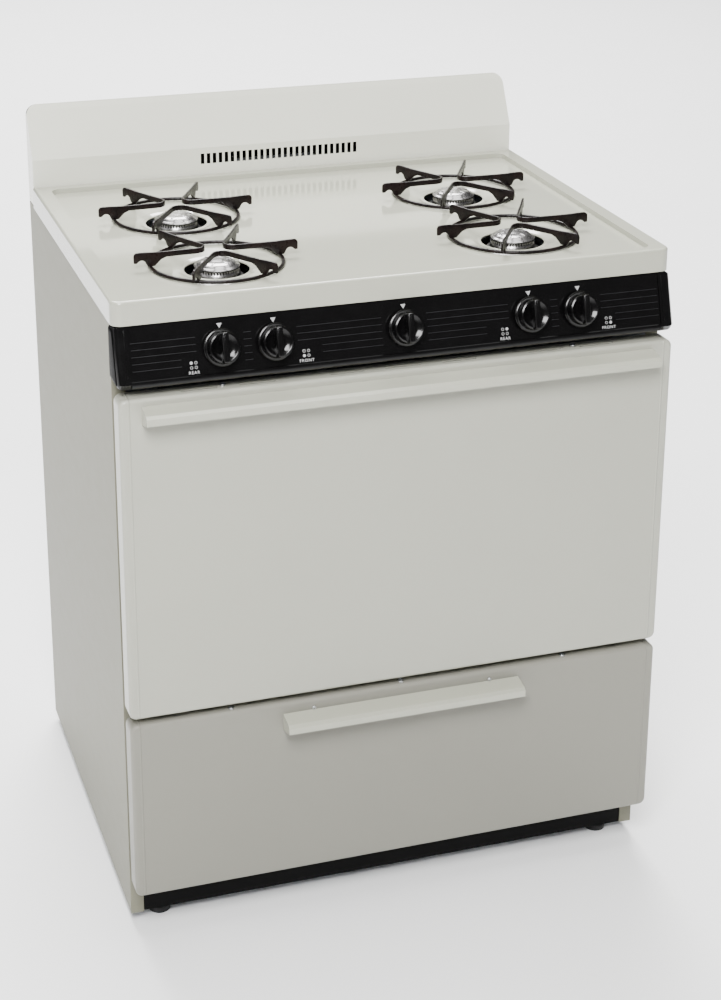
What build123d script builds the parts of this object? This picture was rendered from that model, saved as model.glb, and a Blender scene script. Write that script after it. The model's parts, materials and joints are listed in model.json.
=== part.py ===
from build123d import *
import os
from math import cos, radians, sin

# Freestanding gas range, 30 inch class.  Millimetres, +X right, +Y back, +Z up.
# Depths below are measured backwards from the front of the side panels (see at()).

# Overall size
BODY_HALF = 378.5
BODY_DEPTH = 580.0
HANDLE_REACH = 72.0
BODY_FRONT = -(BODY_DEPTH - HANDLE_REACH) / 2
TRIM_HALF = 380.0
FRONT_HALF = 379.0
SHEET = 1.2
GAP = 0.3
INSIDE = BODY_HALF - SHEET

# Heights above the floor
PANEL_BOTTOM = 16.0
DRAWER_BOTTOM = 70.5
DRAWER_TOP = 333.0
DOOR_BOTTOM = 342.0
DOOR_TOP = 791.6
CONTROL_BOTTOM = 804.5
SIDE_TOP = 882.0
RECESS_TOP = 907.0
RIM_TOP = 914.0
GUARD_TOP = 1029.0

# Door and drawer fronts
SKIN_FRONT = -44.0
SKIN_BACK = -14.0
LINER_BACK = -3.0
SKIN_CORNER = 10.0
SKIN_EDGE = 5.0
DOOR_SCREWS = (-241.0, 241.0)
DOOR_SCREW_DEPTH = -25.0
DRAWER_SCREWS = (-240.0, 0.0, 240.0)
DRAWER_SCREW_DEPTH = -35.0

# Oven
OVEN_HALF = 298.3
OVEN_BACK = 478.8
OVEN_FLOOR = 394.2
OVEN_CEILING = 778.3
OVEN_FLANGE = 12.0
SIDE_WOOL = 30.0
BACK_WOOL = 24.0
TOP_WOOL = 19.0
FLUE = (62.0, 736.0, 766.0)
BURNER_LEVEL = 362.0
RACK_HEIGHTS = {"lower_rack": 480.0, "upper_rack": 620.0}

# Door hinge
HINGE_DEPTH = -25.0
HINGE_HEIGHT = 363.0
HINGE_X = 330.0
HINGE_PIN = 4.0
RUNNING = 0.06

# Drawer
TRAY_HALF = 338.0
TRAY_FLOOR = 100.0
PAN_DEPTH = 40.0

# Burners and grates
BURNER_X = 209.5
BURNER_DEPTHS = {"front": 116.0, "rear": 343.0}
WELL_RADIUS = 92.0
WELL_HOLE = 43.5
RING_RADIUS = 88.0
RING_WIRE = 2.5
TIP_RADIUS = 111.0
APEX_RADIUS = 17.0
BLADE = 2.6
BLADE_LOW = 921.0
BLADE_TOP = 931.0

# Controls
CONTROL_TILT = 17.2
CONTROL_BASE = (-33.3, 845.5)
KNOB_GAP = 5.0
STEM_RADIUS = 4.0
STEM_REACH = (-53.0, 15.0)
FACE_HALF = 361.0
KNOB_RADIUS = 24.0
CONTROLS = {
    "rear_left": -244.0,
    "front_left": -174.0,
    "oven": 0.0,
    "rear_right": 174.0,
    "front_right": 244.0,
}

# Backguard
GUARD_FRONT = 538.0
GUARD_BEND = 954.0
GUARD_BOTTOM = 884.0

# Burner box
BOX_HALF = 335.0
BOX_DEPTH = (76.0, 530.0)
BOX_HEIGHT = (802.0, 878.0)

# Gas train
MANIFOLD = (56.0, 817.0)
MANIFOLD_RADIUS = 9.0
RISER = (320.0, 545.0, 352.0)
INLET_HEIGHT = 180.0
INLET_RADIUS = 9.3
INLET_CLEARANCE = 38.0
TUBE_LEVEL = 838.0
PILOT_LEVEL = 858.0

# Vent in the backguard
VENT_SLOTS = 27
VENT_PITCH = 9.3
VENT_SLOT = (5.6, 929.0, 945.0)


def at(depth):
    """Y of a depth measured backwards from the front of the side panels."""
    return BODY_FRONT + depth


def block(x, depth, z):
    """Box between two limits in x, depth and z."""
    size = (x[1] - x[0], depth[1] - depth[0], z[1] - z[0])
    centre = (sum(x) / 2, at(sum(depth) / 2), sum(z) / 2)
    return Pos(*centre) * Box(*size)


def rod(start, end, radius):
    """Round bar between two (x, depth, z) points."""
    a = Vector(start[0], at(start[1]), start[2])
    b = Vector(end[0], at(end[1]), end[2])
    plane = Plane(origin=a, z_dir=b - a)
    return plane * extrude(Circle(radius), (b - a).length)


def pipe(points, radius):
    """Round pipe through a list of (x, depth, z) points, with ball corners."""
    runs = [rod(a, b, radius) for a, b in zip(points, points[1:])]
    balls = [Pos(x, at(d), z) * Sphere(radius) for x, d, z in points[1:-1]]
    return Part() + runs + balls


def both_sides(solid):
    """A solid and its mirror image across the middle of the range."""
    return [solid, mirror(solid, about=Plane.YZ)]


def profile_bar(outline, half):
    """Bar across the range with a (depth, z) outline."""
    points = [(at(d), z) for d, z in outline]
    face = Plane.YZ * make_face(Polyline(*points, close=True))
    return extrude(face, half, both=True)


def control_plane(x, outwards=0.0):
    """Plane of a control's base on the panel, its Z along the stem, outwards."""
    tilt = radians(CONTROL_TILT)
    axis = Vector(0, -cos(tilt), sin(tilt))
    base = Vector(x, at(CONTROL_BASE[0]), CONTROL_BASE[1])
    return Plane(origin=base + axis * outwards, x_dir=(1, 0, 0), z_dir=axis)


# ---------------------------------------------------------------- body


def side_panel():
    """Right side panel with its front and rear return flanges."""
    skin = block((BODY_HALF - SHEET, BODY_HALF), (0, BODY_DEPTH), (PANEL_BOTTOM, SIDE_TOP))
    front = block((BODY_HALF - 18, BODY_HALF), (0, SHEET), (PANEL_BOTTOM, SIDE_TOP))
    rear = block((BODY_HALF - 12, BODY_HALF), (BODY_DEPTH - SHEET, BODY_DEPTH), (PANEL_BOTTOM, SIDE_TOP))
    return skin + front + rear


def rear_panel():
    """Upper and lower rear sheets; the lower one stops short of the gas inlet."""
    depth = (BODY_DEPTH - 2 * SHEET, BODY_DEPTH - SHEET)
    seam = INLET_HEIGHT + INLET_CLEARANCE
    upper = block((-INSIDE, INSIDE), depth, (seam, SIDE_TOP - 2))
    lower = block((-INSIDE, RISER[0] - INLET_CLEARANCE), depth, (30, seam - GAP))
    return [upper, lower]


def front_frame():
    """Face frame with the oven and drawer openings, hinge slots and stem holes."""
    cut = (0, 10)
    frame = block((-INSIDE, INSIDE), (SHEET, 2 * SHEET), (DRAWER_BOTTOM, SIDE_TOP))
    frame -= block((-OVEN_HALF - 1.7, OVEN_HALF + 1.7), cut, (OVEN_FLOOR - 2, OVEN_CEILING + 2))
    frame -= block((-354, 354), cut, (DRAWER_BOTTOM + 8, DRAWER_TOP + 1))
    for slot in both_sides(block((HINGE_X - 6, HINGE_X + 6), cut, (HINGE_HEIGHT - 11, HINGE_HEIGHT + 11))):
        frame -= slot
    for x in CONTROLS.values():
        frame -= control_plane(x) * Pos(0, 0, -40) * Cylinder(9, 40)
    return frame


def kick_plate():
    """Recessed toe plate below the drawer."""
    return block((-INSIDE, INSIDE), (SHEET, 2 * SHEET), (PANEL_BOTTOM + 1, DRAWER_BOTTOM - 1.5))


def base_frame():
    """Angle-section base ring with the four threaded foot holes."""
    outer = INSIDE - 0.5
    ring = block((-outer, outer), (4, 576), (18, 20)) - block((-312, 312), (56, 524), (10, 30))
    lips = block((-outer, outer), (4, 576), (20, 40)) - block((-outer + 2, outer - 2), (6, 574), (10, 50))
    base = ring + lips
    for x, depth in foot_places():
        base -= rod((x, depth, 0), (x, depth, 60), 5)
    return base


def foot_places():
    """Plan positions of the levelling feet."""
    return [(x, depth) for x in (-333, 333) for depth in (26, 554)]


def levelling_feet():
    """Four screw feet, each a pad with a stud."""
    feet = []
    for x, depth in foot_places():
        pad = Pos(x, at(depth), 6) * Cylinder(15, 12)
        pad = chamfer(pad.edges().group_by(Axis.Z)[-1], 4)
        feet.append(pad + rod((x, depth, 11), (x, depth, 46), 4.95))
    return feet


def burner_box():
    """Open-topped tray below the cooktop, open at the front for the gas tubes."""
    low, high = BOX_HEIGHT
    outer = block((-BOX_HALF, BOX_HALF), BOX_DEPTH, BOX_HEIGHT)
    inner = BOX_HALF - SHEET
    return outer - block((-inner, inner), (0, BOX_DEPTH[1] - SHEET), (low + SHEET, high + 20))


# ---------------------------------------------------------------- oven


def oven_liner():
    """Porcelain oven box: welded sides, ceiling, floor and back, flanged at the front."""
    x = OVEN_HALF + SHEET
    front = 2 * SHEET
    flange = (front, front + SHEET)
    low, high = OVEN_FLOOR - SHEET, OVEN_CEILING + SHEET
    depth = (front, OVEN_BACK)
    side = block((OVEN_HALF, x), (front, OVEN_BACK + SHEET), (low, high))
    side += block((x, x + OVEN_FLANGE), flange, (low - OVEN_FLANGE, high + OVEN_FLANGE))
    ceiling = block((-OVEN_HALF, OVEN_HALF), depth, (OVEN_CEILING, high))
    ceiling += block((-x, x), flange, (high, high + OVEN_FLANGE))
    floor = block((-OVEN_HALF, OVEN_HALF), depth, (low, OVEN_FLOOR)) - block((-270, 270), (40, 440), (low - 5, low + 5))
    floor += block((-x, x), flange, (low - OVEN_FLANGE, low))
    back = block((-OVEN_HALF, OVEN_HALF), (OVEN_BACK, OVEN_BACK + SHEET), (low, high))
    back -= block((-60, 60), (OVEN_BACK - 5, OVEN_BACK + 5), (FLUE[1] + 2, FLUE[2] - 2))
    return [*both_sides(side), ceiling, floor, back]


def oven_bottom():
    """Lift-out oven floor with rows of heat slots along both sides."""
    floor = block((-292, 292), (14, 472), (OVEN_FLOOR, OVEN_FLOOR + SHEET))
    for row in range(10):
        depth = 50 + 40 * row
        for slot in both_sides(block((268, 282), (depth, depth + 24), (390, 400))):
            floor -= slot
    return floor


def oven_insulation():
    """Mineral wool batts over the top, sides and back of the oven, clear of the flue."""
    x = OVEN_HALF + SHEET + 0.5
    start = OVEN_BACK + SHEET + 0.5
    top = OVEN_CEILING + SHEET + 0.5
    outer = x + SIDE_WOOL
    behind = (start + GAP, start + BACK_WOOL)
    half, low, _ = FLUE
    side = block((x, outer), (8, start), (OVEN_FLOOR, top - GAP))
    ceiling = block((-outer, outer), (8, start + BACK_WOOL), (top, top + TOP_WOOL))
    back = block((-outer, outer), behind, (OVEN_FLOOR, low - 2))
    beside_flue = block((half + 1, outer), behind, (low - 2 + GAP, top - GAP))
    return [*both_sides(side), ceiling, back, *both_sides(beside_flue)]


def flue_duct():
    """Sheet duct from the oven's back wall up into the backguard."""
    half, low, high = FLUE
    inner = half - SHEET
    start = OVEN_BACK + SHEET
    rear, turn, mouth = 576, 546, 924
    duct = block((-half, half), (start, rear), (low, high)) + block((-half, half), (turn, rear), (low, mouth))
    duct -= block((-inner, inner), (start - 5, rear - SHEET), (low + SHEET, high - SHEET))
    return duct - block((-inner, inner), (turn + SHEET, rear - SHEET), (low + 4, mouth + 6))


def oven_burner():
    """Straight tubular burner with a flared air shutter at the back."""
    z = BURNER_LEVEL
    burner = rod((0, 60, z), (0, 470, z), 13) + rod((0, 470, z), (0, 486, z), 20)
    burner -= rod((0, 90, z), (0, 500, z), 11.5)
    for row in range(18):
        depth = 80 + 20 * row
        for port in both_sides(rod((0, depth, z), (20, depth, z), 2)):
            burner -= port
    return burner


def flame_spreader():
    """Folded baffle above the oven burner."""
    half = 140
    outline = [(-half, 378), (0, 387), (half, 378), (half, 376.8), (0, 385.8), (-half, 376.8)]
    face = Plane.XZ * make_face(Polyline(*outline, close=True))
    return Pos(0, at(60), 0) * extrude(face, -370)


def rack_guide():
    """Right side ladder of ledges that carry the racks."""
    guide = block((OVEN_HALF - 1.5, OVEN_HALF), (30, 460), (400, 720))
    for height in (410, 480, 550, 620, 690):
        top = height - 3 - GAP
        guide += block((OVEN_HALF - 12, OVEN_HALF), (30, 460), (top - 2, top))
    return guide


def oven_rack(height):
    """Wire rack: perimeter, two cross bars, a raised front pull and the wires."""
    half = OVEN_HALF - 10.5
    front, back = 34, 452
    corners = [(-half, front), (half, front), (half, back), (-half, back)]
    rack = pipe([(x, d, height) for x, d in corners + corners[:2]], 3)
    for depth in (front + 70, back - 70):
        rack += rod((-half, depth, height), (half, depth, height), 2.5)
    for wire in range(-10, 11):
        x = wire * 26
        rack += rod((x, front, height + 2.5), (x, back, height + 2.5), 1.6)
    return rack


def sensing_bulb():
    """Thermostat bulb clipped high on the oven's back wall."""
    bulb = rod((100, 466, 764), (250, 466, 764), 3.2)
    for x in (120, 230):
        bulb += block((x - 4, x + 4), (463, OVEN_BACK), (759, 769))
    return bulb


# ---------------------------------------------------------------- gas train


def manifold_pipe():
    """Supply pipe from the regulator up the back and across behind the panel."""
    depth, height = MANIFOLD
    x, back, side = RISER
    route = [(x, back, INLET_HEIGHT + 20), (x, back, height), (side, back, height)]
    route += [(side, depth, height), (-290, depth, height)]
    return pipe(route, MANIFOLD_RADIUS)


def manifold_bar():
    """The stretch of the manifold that the valves seat on."""
    depth, height = MANIFOLD
    return rod((-290, depth, height), (330, depth, height), MANIFOLD_RADIUS)


def valve(x, width):
    """Gas valve: housing and bonnet on the stem's axis, seated on the manifold."""
    plane = control_plane(x)
    bonnet = plane * Pos(0, 0, -51) * Cylinder(8.5, 12)
    housing = plane * Pos(0, 0, -72) * Box(width, 26, 30)
    bore = plane * Pos(0, 0, -60) * Cylinder(STEM_RADIUS + RUNNING, 36)
    return bonnet + housing - bore - manifold_bar()


def gas_valves():
    """The four burner valves and the wider oven thermostat."""
    return [valve(x, 44 if name == "oven" else 22) for name, x in CONTROLS.items()]


def pressure_regulator():
    """Regulator with a threaded inlet facing the back."""
    x, back, _ = RISER
    body = block((x - 22, x + 22), (back - 22, back + 24), (INLET_HEIGHT - 20, INLET_HEIGHT + 20))
    body += rod((x, back - 40, INLET_HEIGHT), (x, back - 22, INLET_HEIGHT), 26)
    return body - rod((x, back + 8, INLET_HEIGHT), (x, back + 30, INLET_HEIGHT), INLET_RADIUS)


def burner_places():
    """Name, x and depth of each burner."""
    return [
        (f"{row}_{side}", sign * BURNER_X, depth)
        for row, depth in BURNER_DEPTHS.items()
        for side, sign in (("left", -1), ("right", 1))
    ]


def burner_tube(name, x, depth):
    """Mixing tube from its valve to the burner head."""
    start = CONTROLS[name]
    bend = depth - 40
    z = TUBE_LEVEL
    return pipe([(start, 82, z), (start, bend, z), (x, depth, z), (x, depth, 872)], 9)


def burner_head(x, depth):
    """Cast burner head: cup, drip flange, ported wall and stamped cap."""
    outline = [
        (0, 872), (14, 872), (20, 880), (25, 889), (36, 889), (36, 891.5), (31, 892.5), (30.5, 904),
        (27.5, 906), (26.5, 909), (20, 912), (9, 913), (0, 913),
    ]
    face = Plane.XZ * make_face(Polyline(*outline, close=True))
    head = Pos(x, at(depth), 0) * revolve(face, Axis.Z)
    for port in PolarLocations(31.5, 36):
        head -= Pos(x, at(depth), 900) * port * Box(4, 1.8, 4)
    return head


def pilot_burners():
    """Two standing pilots between the burners, with their gas tubes."""
    depth = sum(BURNER_DEPTHS.values()) / 2
    z = PILOT_LEVEL
    return [
        pipe([(x, 72, z), (x, depth, z), (x, depth, z + 22)], 2.5) + rod((x, depth, z + 18), (x, depth, z + 28), 5)
        for x in (-BURNER_X + 50, BURNER_X - 50)
    ]


# ---------------------------------------------------------------- top


def well_section():
    """Radial section of one formed burner well."""
    lip = 1.4
    top = [(WELL_RADIUS, RECESS_TOP), (54, 901), (48, 899.5), (WELL_HOLE, 899.5)]
    bottom = [(WELL_HOLE, 899.5 - lip), (48, 899.5 - lip), (54, 901 - lip), (WELL_RADIUS, RECESS_TOP - lip)]
    return Plane.XZ * make_face(Polyline(*top, *bottom, close=True))


def cooktop():
    """Pressed cooktop: rolled rim, recessed deck, skirt and four wells."""
    front, back = -24.0, 537.0
    wall = 1.4
    bottom = SIDE_TOP + 0.4
    top = block((-TRIM_HALF, TRIM_HALF), (front, back), (bottom, RIM_TOP))
    top = fillet(top.edges().filter_by(Axis.Z).group_by(Axis.Y)[0], 14)
    top = fillet(top.faces().sort_by(Axis.Z)[-1].edges(), 4)
    deck = block((-357, 357), (front + 13, back - 20), (RECESS_TOP, RIM_TOP + 1))
    deck = fillet(deck.edges().filter_by(Axis.Z), 14)
    top -= deck
    under = block((-TRIM_HALF + wall, TRIM_HALF - wall), (front + wall, back - wall), (bottom - 1, RIM_TOP - wall))
    under = fillet(under.edges().filter_by(Axis.Z).group_by(Axis.Y)[0], 12)
    under -= block((-358.4, 358.4), (front + 11.6, back - 18.6), (RECESS_TOP - wall, RIM_TOP))
    top -= under
    for _, x, depth in burner_places():
        top -= Pos(x, at(depth), RECESS_TOP) * Cylinder(WELL_RADIUS, 20)
        top += Pos(x, at(depth), 0) * revolve(well_section(), Axis.Z)
    return top


def grate_blade(angle):
    """One bent blade: a rounded apex near the middle and two hooked legs."""
    def polar(radius, degrees):
        return (radius * cos(radians(degrees)), radius * sin(radians(degrees)))

    apex = polar(APEX_RADIUS - 6, angle)
    tips = [polar(TIP_RADIUS, angle - 30), polar(TIP_RADIUS, angle + 30)]
    height = BLADE_TOP - BLADE_LOW
    path = Pos(0, 0, (BLADE_LOW + BLADE_TOP) / 2) * FilletPolyline(tips[0], apex, tips[1], radius=7)
    section = Plane(origin=path @ 0, x_dir=(0, 0, 1), z_dir=path % 0) * Rectangle(height, BLADE)
    blade = sweep(section, path)
    for tip in tips:
        along = (Vector(*tip) - Vector(*apex)).normalized()
        low = RING_WIRE + RECESS_TOP + GAP
        hook = [(1, BLADE_TOP), (1, 912), (-4, 912), (-9, 919), (-16, 918), (-19, low), (-27, low)]
        hook += [(-30, 917), (-42, BLADE_LOW + 1), (-42, BLADE_TOP - 3), (-14, BLADE_TOP + 1.5)]
        plane = Plane(origin=(*tip, 0), x_dir=along, z_dir=along.cross(Vector(0, 0, 1)))
        face = plane * make_face(Polyline(*hook, close=True))
        blade += extrude(face, BLADE / 2, both=True)
    return blade


def grate(x, depth):
    """Wire ring with three bent blades."""
    ring = Pos(0, 0, RECESS_TOP + GAP + RING_WIRE) * Torus(RING_RADIUS, RING_WIRE)
    for angle in (30, 150, 270):
        ring += grate_blade(angle)
    return Pos(x, at(depth), 0) * ring


def guard_outline(inset):
    """Side outline of the backguard, drawn in by a wall thickness."""
    rear = BODY_DEPTH - inset
    return [
        (GUARD_FRONT + inset, GUARD_BOTTOM + inset), (GUARD_FRONT + inset, GUARD_BEND),
        (574 + inset * 0.7, GUARD_TOP - 8 - inset), (579 - inset * 0.5, GUARD_TOP - inset),
        (rear, GUARD_TOP - inset), (rear, GUARD_BOTTOM + inset),
    ]


def backguard():
    """Folded backguard with rounded shoulders and the row of vent slots."""
    guard = profile_bar(guard_outline(0), BODY_HALF)
    shoulders = guard.edges().filter_by(lambda e: abs(e.center().Z - GUARD_TOP) < 6 and abs(e.center().X) > 370)
    guard = fillet(shoulders.filter_by(Axis.Y), 16)
    guard -= profile_bar(guard_outline(SHEET), BODY_HALF - 2 * SHEET)
    width, low, high = VENT_SLOT
    for slot in range(VENT_SLOTS):
        x = (slot - (VENT_SLOTS - 1) / 2) * VENT_PITCH
        guard -= block((x - width / 2, x + width / 2), (GUARD_FRONT - 8, GUARD_FRONT + 7), (low, high))
    return guard - block((-70, 70), (GUARD_FRONT + 6, 578), (GUARD_BOTTOM - 4, GUARD_BOTTOM + 6))


# ---------------------------------------------------------------- controls


def control_panel():
    """Moulded control panel, hollow at the back, with a recessed face."""
    outline = [(0, 881.5), (-23.4, 881.5), (-44.9, 812), (-44, 806), (-39, CONTROL_BOTTOM), (0, CONTROL_BOTTOM)]
    inner = [(5, 878.5), (-20, 878.5), (-40.8, 812), (-38, 807.5), (5, 807.5)]
    panel = profile_bar(outline, TRIM_HALF)
    panel = fillet(panel.edges().filter_by(Axis.X, reverse=True).group_by(Axis.Y)[0], 1.5)
    panel -= profile_bar(inner, TRIM_HALF - 3)
    panel -= control_plane(0) * Pos(0, 6, 5) * Box(2 * FACE_HALF, 78, 10)
    for x in CONTROLS.values():
        panel -= control_plane(x) * Cylinder(6, 30)
    return panel


def knob(x):
    """Round knob with a flared skirt and a raised bar grip."""
    outline = [(0, 0), (21, 0), (KNOB_RADIUS, 2), (KNOB_RADIUS, 5), (21.5, 8.5), (20, 15), (18, 17), (0, 17)]
    face = Plane.XZ * make_face(Polyline(*outline, close=True))
    body = revolve(face, Axis.Z)
    grip = Pos(0, 0, 20) * Box(9, 37, 12)
    grip = fillet(grip.edges().filter_by(Axis.Z), 4)
    grip = fillet(grip.faces().sort_by(Axis.Z)[-1].edges(), 2)
    body = body + grip - Pos(0, 0, 5) * Cylinder(STEM_RADIUS + RUNNING, 24)
    return control_plane(x, KNOB_GAP) * body


def stem(x):
    """Valve stem that carries a knob."""
    start, end = STEM_REACH
    return control_plane(x, start) * extrude(Circle(STEM_RADIUS), end - start)


# ---------------------------------------------------------------- door


def front_pan(z):
    """Folded front pan of the door or drawer with rounded edges and corners."""
    pan = block((-FRONT_HALF, FRONT_HALF), (SKIN_FRONT, SKIN_BACK), z)
    pan = fillet(pan.edges().filter_by(Axis.Y), SKIN_CORNER)
    pan = fillet(pan.faces().sort_by(Axis.Y)[0].edges(), SKIN_EDGE)
    edge = FRONT_HALF - SHEET
    hollow = block((-edge, edge), (SKIN_FRONT + SHEET, SKIN_BACK + 1), (z[0] + SHEET, z[1] - SHEET))
    hollow = fillet(hollow.edges().filter_by(Axis.Y), SKIN_CORNER - SHEET)
    return pan - fillet(hollow.faces().sort_by(Axis.Y)[0].edges(), SKIN_EDGE - SHEET)


def screw_hole(x, depth, z):
    """Cutter for a screw through the top edge of a front pan."""
    return Pos(x, at(depth), z) * Cylinder(1.9, 10)


def hinge_slots(depth, z):
    """Cutters for the hinge arms' passage."""
    return both_sides(block((HINGE_X - 5.5, HINGE_X + 5.5), depth, z))


def door_skin():
    """Outer door pan with cooling slots along its top edge."""
    skin = front_pan((DOOR_BOTTOM, DOOR_TOP))
    for centre in (-273, -196, -76, 0, 77, 198, 273):
        skin -= block((centre - 24, centre + 24), (-32.5, -28.5), (DOOR_TOP - 5, DOOR_TOP + 5))
    for slot in hinge_slots((HINGE_DEPTH - 10, 0), (DOOR_BOTTOM - 5, DOOR_BOTTOM + 5)):
        skin -= slot
    for x in DOOR_SCREWS:
        skin -= screw_hole(x, DOOR_SCREW_DEPTH, DOOR_TOP)
    return skin


def door_liner():
    """Inner door pan with a raised plug that faces the oven."""
    flange = block((-376, 376), (SKIN_BACK, SKIN_BACK + SHEET), (DOOR_BOTTOM + 4, DOOR_TOP - 3))
    plug = block((-352, 352), (SKIN_BACK + SHEET, LINER_BACK), (HINGE_HEIGHT - 5, DOOR_TOP - 7))
    plug = fillet(plug.edges().filter_by(Axis.Y), 12)
    hollow = block((-350, 350), (SKIN_BACK - 5, LINER_BACK - SHEET), (HINGE_HEIGHT - 3, DOOR_TOP - 9))
    liner = flange + plug - fillet(hollow.edges().filter_by(Axis.Y), 10)
    for slot in hinge_slots((SKIN_BACK - 5, 0), (DOOR_BOTTOM, HINGE_HEIGHT + 13)):
        liner -= slot
    return liner


def door_insulation():
    """Mineral wool pad inside the door."""
    return block((-300, 300), (SKIN_FRONT + 2, SKIN_BACK - 1), (402, 780))


def door_gasket():
    """Woven seal round the oven opening."""
    depth = (LINER_BACK, -GAP)
    ring = block((-314, 314), depth, (383, 783)) - block((-306, 306), (-9, 9), (391, 775))
    return fillet(ring.edges().filter_by(Axis.Y), 3)


def pull(half, top):
    """Hooded pull: a sloped top, a short front lip and closed ends."""
    reach = -HANDLE_REACH
    hood = [(SKIN_FRONT, top), (reach + 4, top - 4.5), (reach, top - 8), (reach, top - 17)]
    hood += [(reach + 3, top - 17), (reach + 3, top - 9), (SKIN_FRONT, top - 4)]
    ends = [(SKIN_FRONT, top), (reach + 4, top - 4.5), (reach, top - 8), (reach, top - 17), (SKIN_FRONT, top - 25)]
    bar = profile_bar(hood, half)
    cap = profile_bar(ends, 1.5)
    return bar + [Pos(x, 0, 0) * cap for x in (-half + 1.5, half - 1.5)]


def screw(x, depth, z, axis):
    """Pan-head screw with a cross recess, its head towards an axis."""
    head = extrude(Circle(4), 2.2)
    head = fillet(head.edges().group_by(Axis.Z)[-1], 1.4) + extrude(Circle(1.8), -7)
    head -= Pos(0, 0, 2.2) * Box(4, 0.9, 1.6) + Pos(0, 0, 2.2) * Box(0.9, 4, 1.6)
    return Plane(origin=(x, at(depth), z), z_dir=axis) * head


def door_screws():
    """Screws through the door's top edge."""
    return [screw(x, DOOR_SCREW_DEPTH, DOOR_TOP, (0, 0, 1)) for x in DOOR_SCREWS]


def hinge_arm():
    """Right hinge arm, fixed to the frame, with the pin's bore."""
    x = (HINGE_X - 3.5, HINGE_X + 3.5)
    eye = rod((x[0], HINGE_DEPTH, HINGE_HEIGHT), (x[1], HINGE_DEPTH, HINGE_HEIGHT), 8)
    arm = eye + block(x, (HINGE_DEPTH, 22), (HINGE_HEIGHT - 8, HINGE_HEIGHT + 8))
    arm += block((HINGE_X - 14, HINGE_X + 14), (2 * SHEET, 2 * SHEET + 2), (HINGE_HEIGHT - 17, HINGE_HEIGHT + 16))
    bore = rod((x[0] - 1, HINGE_DEPTH, HINGE_HEIGHT), (x[1] + 1, HINGE_DEPTH, HINGE_HEIGHT), HINGE_PIN + RUNNING)
    return arm - bore


def door_hinge():
    """Right door bracket: two ears and the hinge pin."""
    ears = Part()
    for x in (HINGE_X - 8.5, HINGE_X + 5.5):
        ears += block((x, x + 3), (SKIN_FRONT + 2, SKIN_BACK - 1), (HINGE_HEIGHT - 11, HINGE_HEIGHT + 30))
    bridge = block((HINGE_X - 8.5, HINGE_X + 8.5), (SKIN_FRONT + 2, SKIN_FRONT + 4), (376, HINGE_HEIGHT + 30))
    pin = rod((HINGE_X - 8.5, HINGE_DEPTH, HINGE_HEIGHT), (HINGE_X + 8.5, HINGE_DEPTH, HINGE_HEIGHT), HINGE_PIN)
    return ears + bridge + pin


# ---------------------------------------------------------------- drawer


def drawer_front():
    """Outer drawer pan with its screw holes."""
    front = front_pan((DRAWER_BOTTOM, DRAWER_TOP))
    for x in DRAWER_SCREWS:
        front -= screw_hole(x, DRAWER_SCREW_DEPTH, DRAWER_TOP)
    return front


def drawer_liner():
    """Closing sheet on the back of the drawer front."""
    return block((-376, 376), (SKIN_BACK, SKIN_BACK + SHEET), (DRAWER_BOTTOM + 3, DRAWER_TOP - 3))


def drawer_tray():
    """Open tray behind the drawer front, with a runner along each side."""
    depth = (SKIN_BACK + SHEET, 470)
    tray = block((-TRAY_HALF, TRAY_HALF), depth, (TRAY_FLOOR, 190))
    inner = (depth[0] + SHEET, depth[1] - SHEET)
    tray -= block((-TRAY_HALF + SHEET, TRAY_HALF - SHEET), inner, (TRAY_FLOOR + SHEET, 200))
    runner = block((TRAY_HALF, TRAY_HALF + 9), (2, 468), (TRAY_FLOOR + 21, TRAY_FLOOR + 47))
    runner -= block((TRAY_HALF + 2, TRAY_HALF + 12), (0, 480), (TRAY_FLOOR + 24, TRAY_FLOOR + 44))
    for side in both_sides(runner):
        tray += side
    return tray


def drawer_track():
    """Right channel that guides the drawer's runner."""
    outer = block((TRAY_HALF + 2, TRAY_HALF + 12), (3, 540), (TRAY_FLOOR + 18, TRAY_FLOOR + 50))
    return outer - block((TRAY_HALF, TRAY_HALF + 10), (0, 550), (TRAY_FLOOR + 20, TRAY_FLOOR + 48))


def drawer_screws():
    """Screws along the drawer's top edge."""
    return [screw(x, DRAWER_SCREW_DEPTH, DRAWER_TOP, (0, 0, 1)) for x in DRAWER_SCREWS]


def broiler_pan():
    """Deep enamelled broiler pan with a flat rim."""
    low = TRAY_FLOOR + SHEET
    top = low + PAN_DEPTH
    pan = block((-200, 200), (60, 400), (low, top))
    pan = fillet(pan.edges().filter_by(Axis.Z), 20)
    rim = block((-208, 208), (52, 408), (top - 2, top))
    pan += fillet(rim.edges().filter_by(Axis.Z), 26)
    hollow = block((-198, 198), (62, 398), (low + 2, top + 20))
    return pan - fillet(hollow.edges().filter_by(Axis.Z), 18)


def broiler_grid():
    """Slotted broiler grid laid in the pan."""
    low = TRAY_FLOOR + SHEET + PAN_DEPTH
    grid = block((-204, 204), (56, 404), (low, low + 1.5))
    for row in range(11):
        depth = 84 + 28 * row
        for x in (-130, 0, 130):
            grid -= block((x - 50, x + 50), (depth, depth + 6), (low - 5, low + 5))
    return grid


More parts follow.
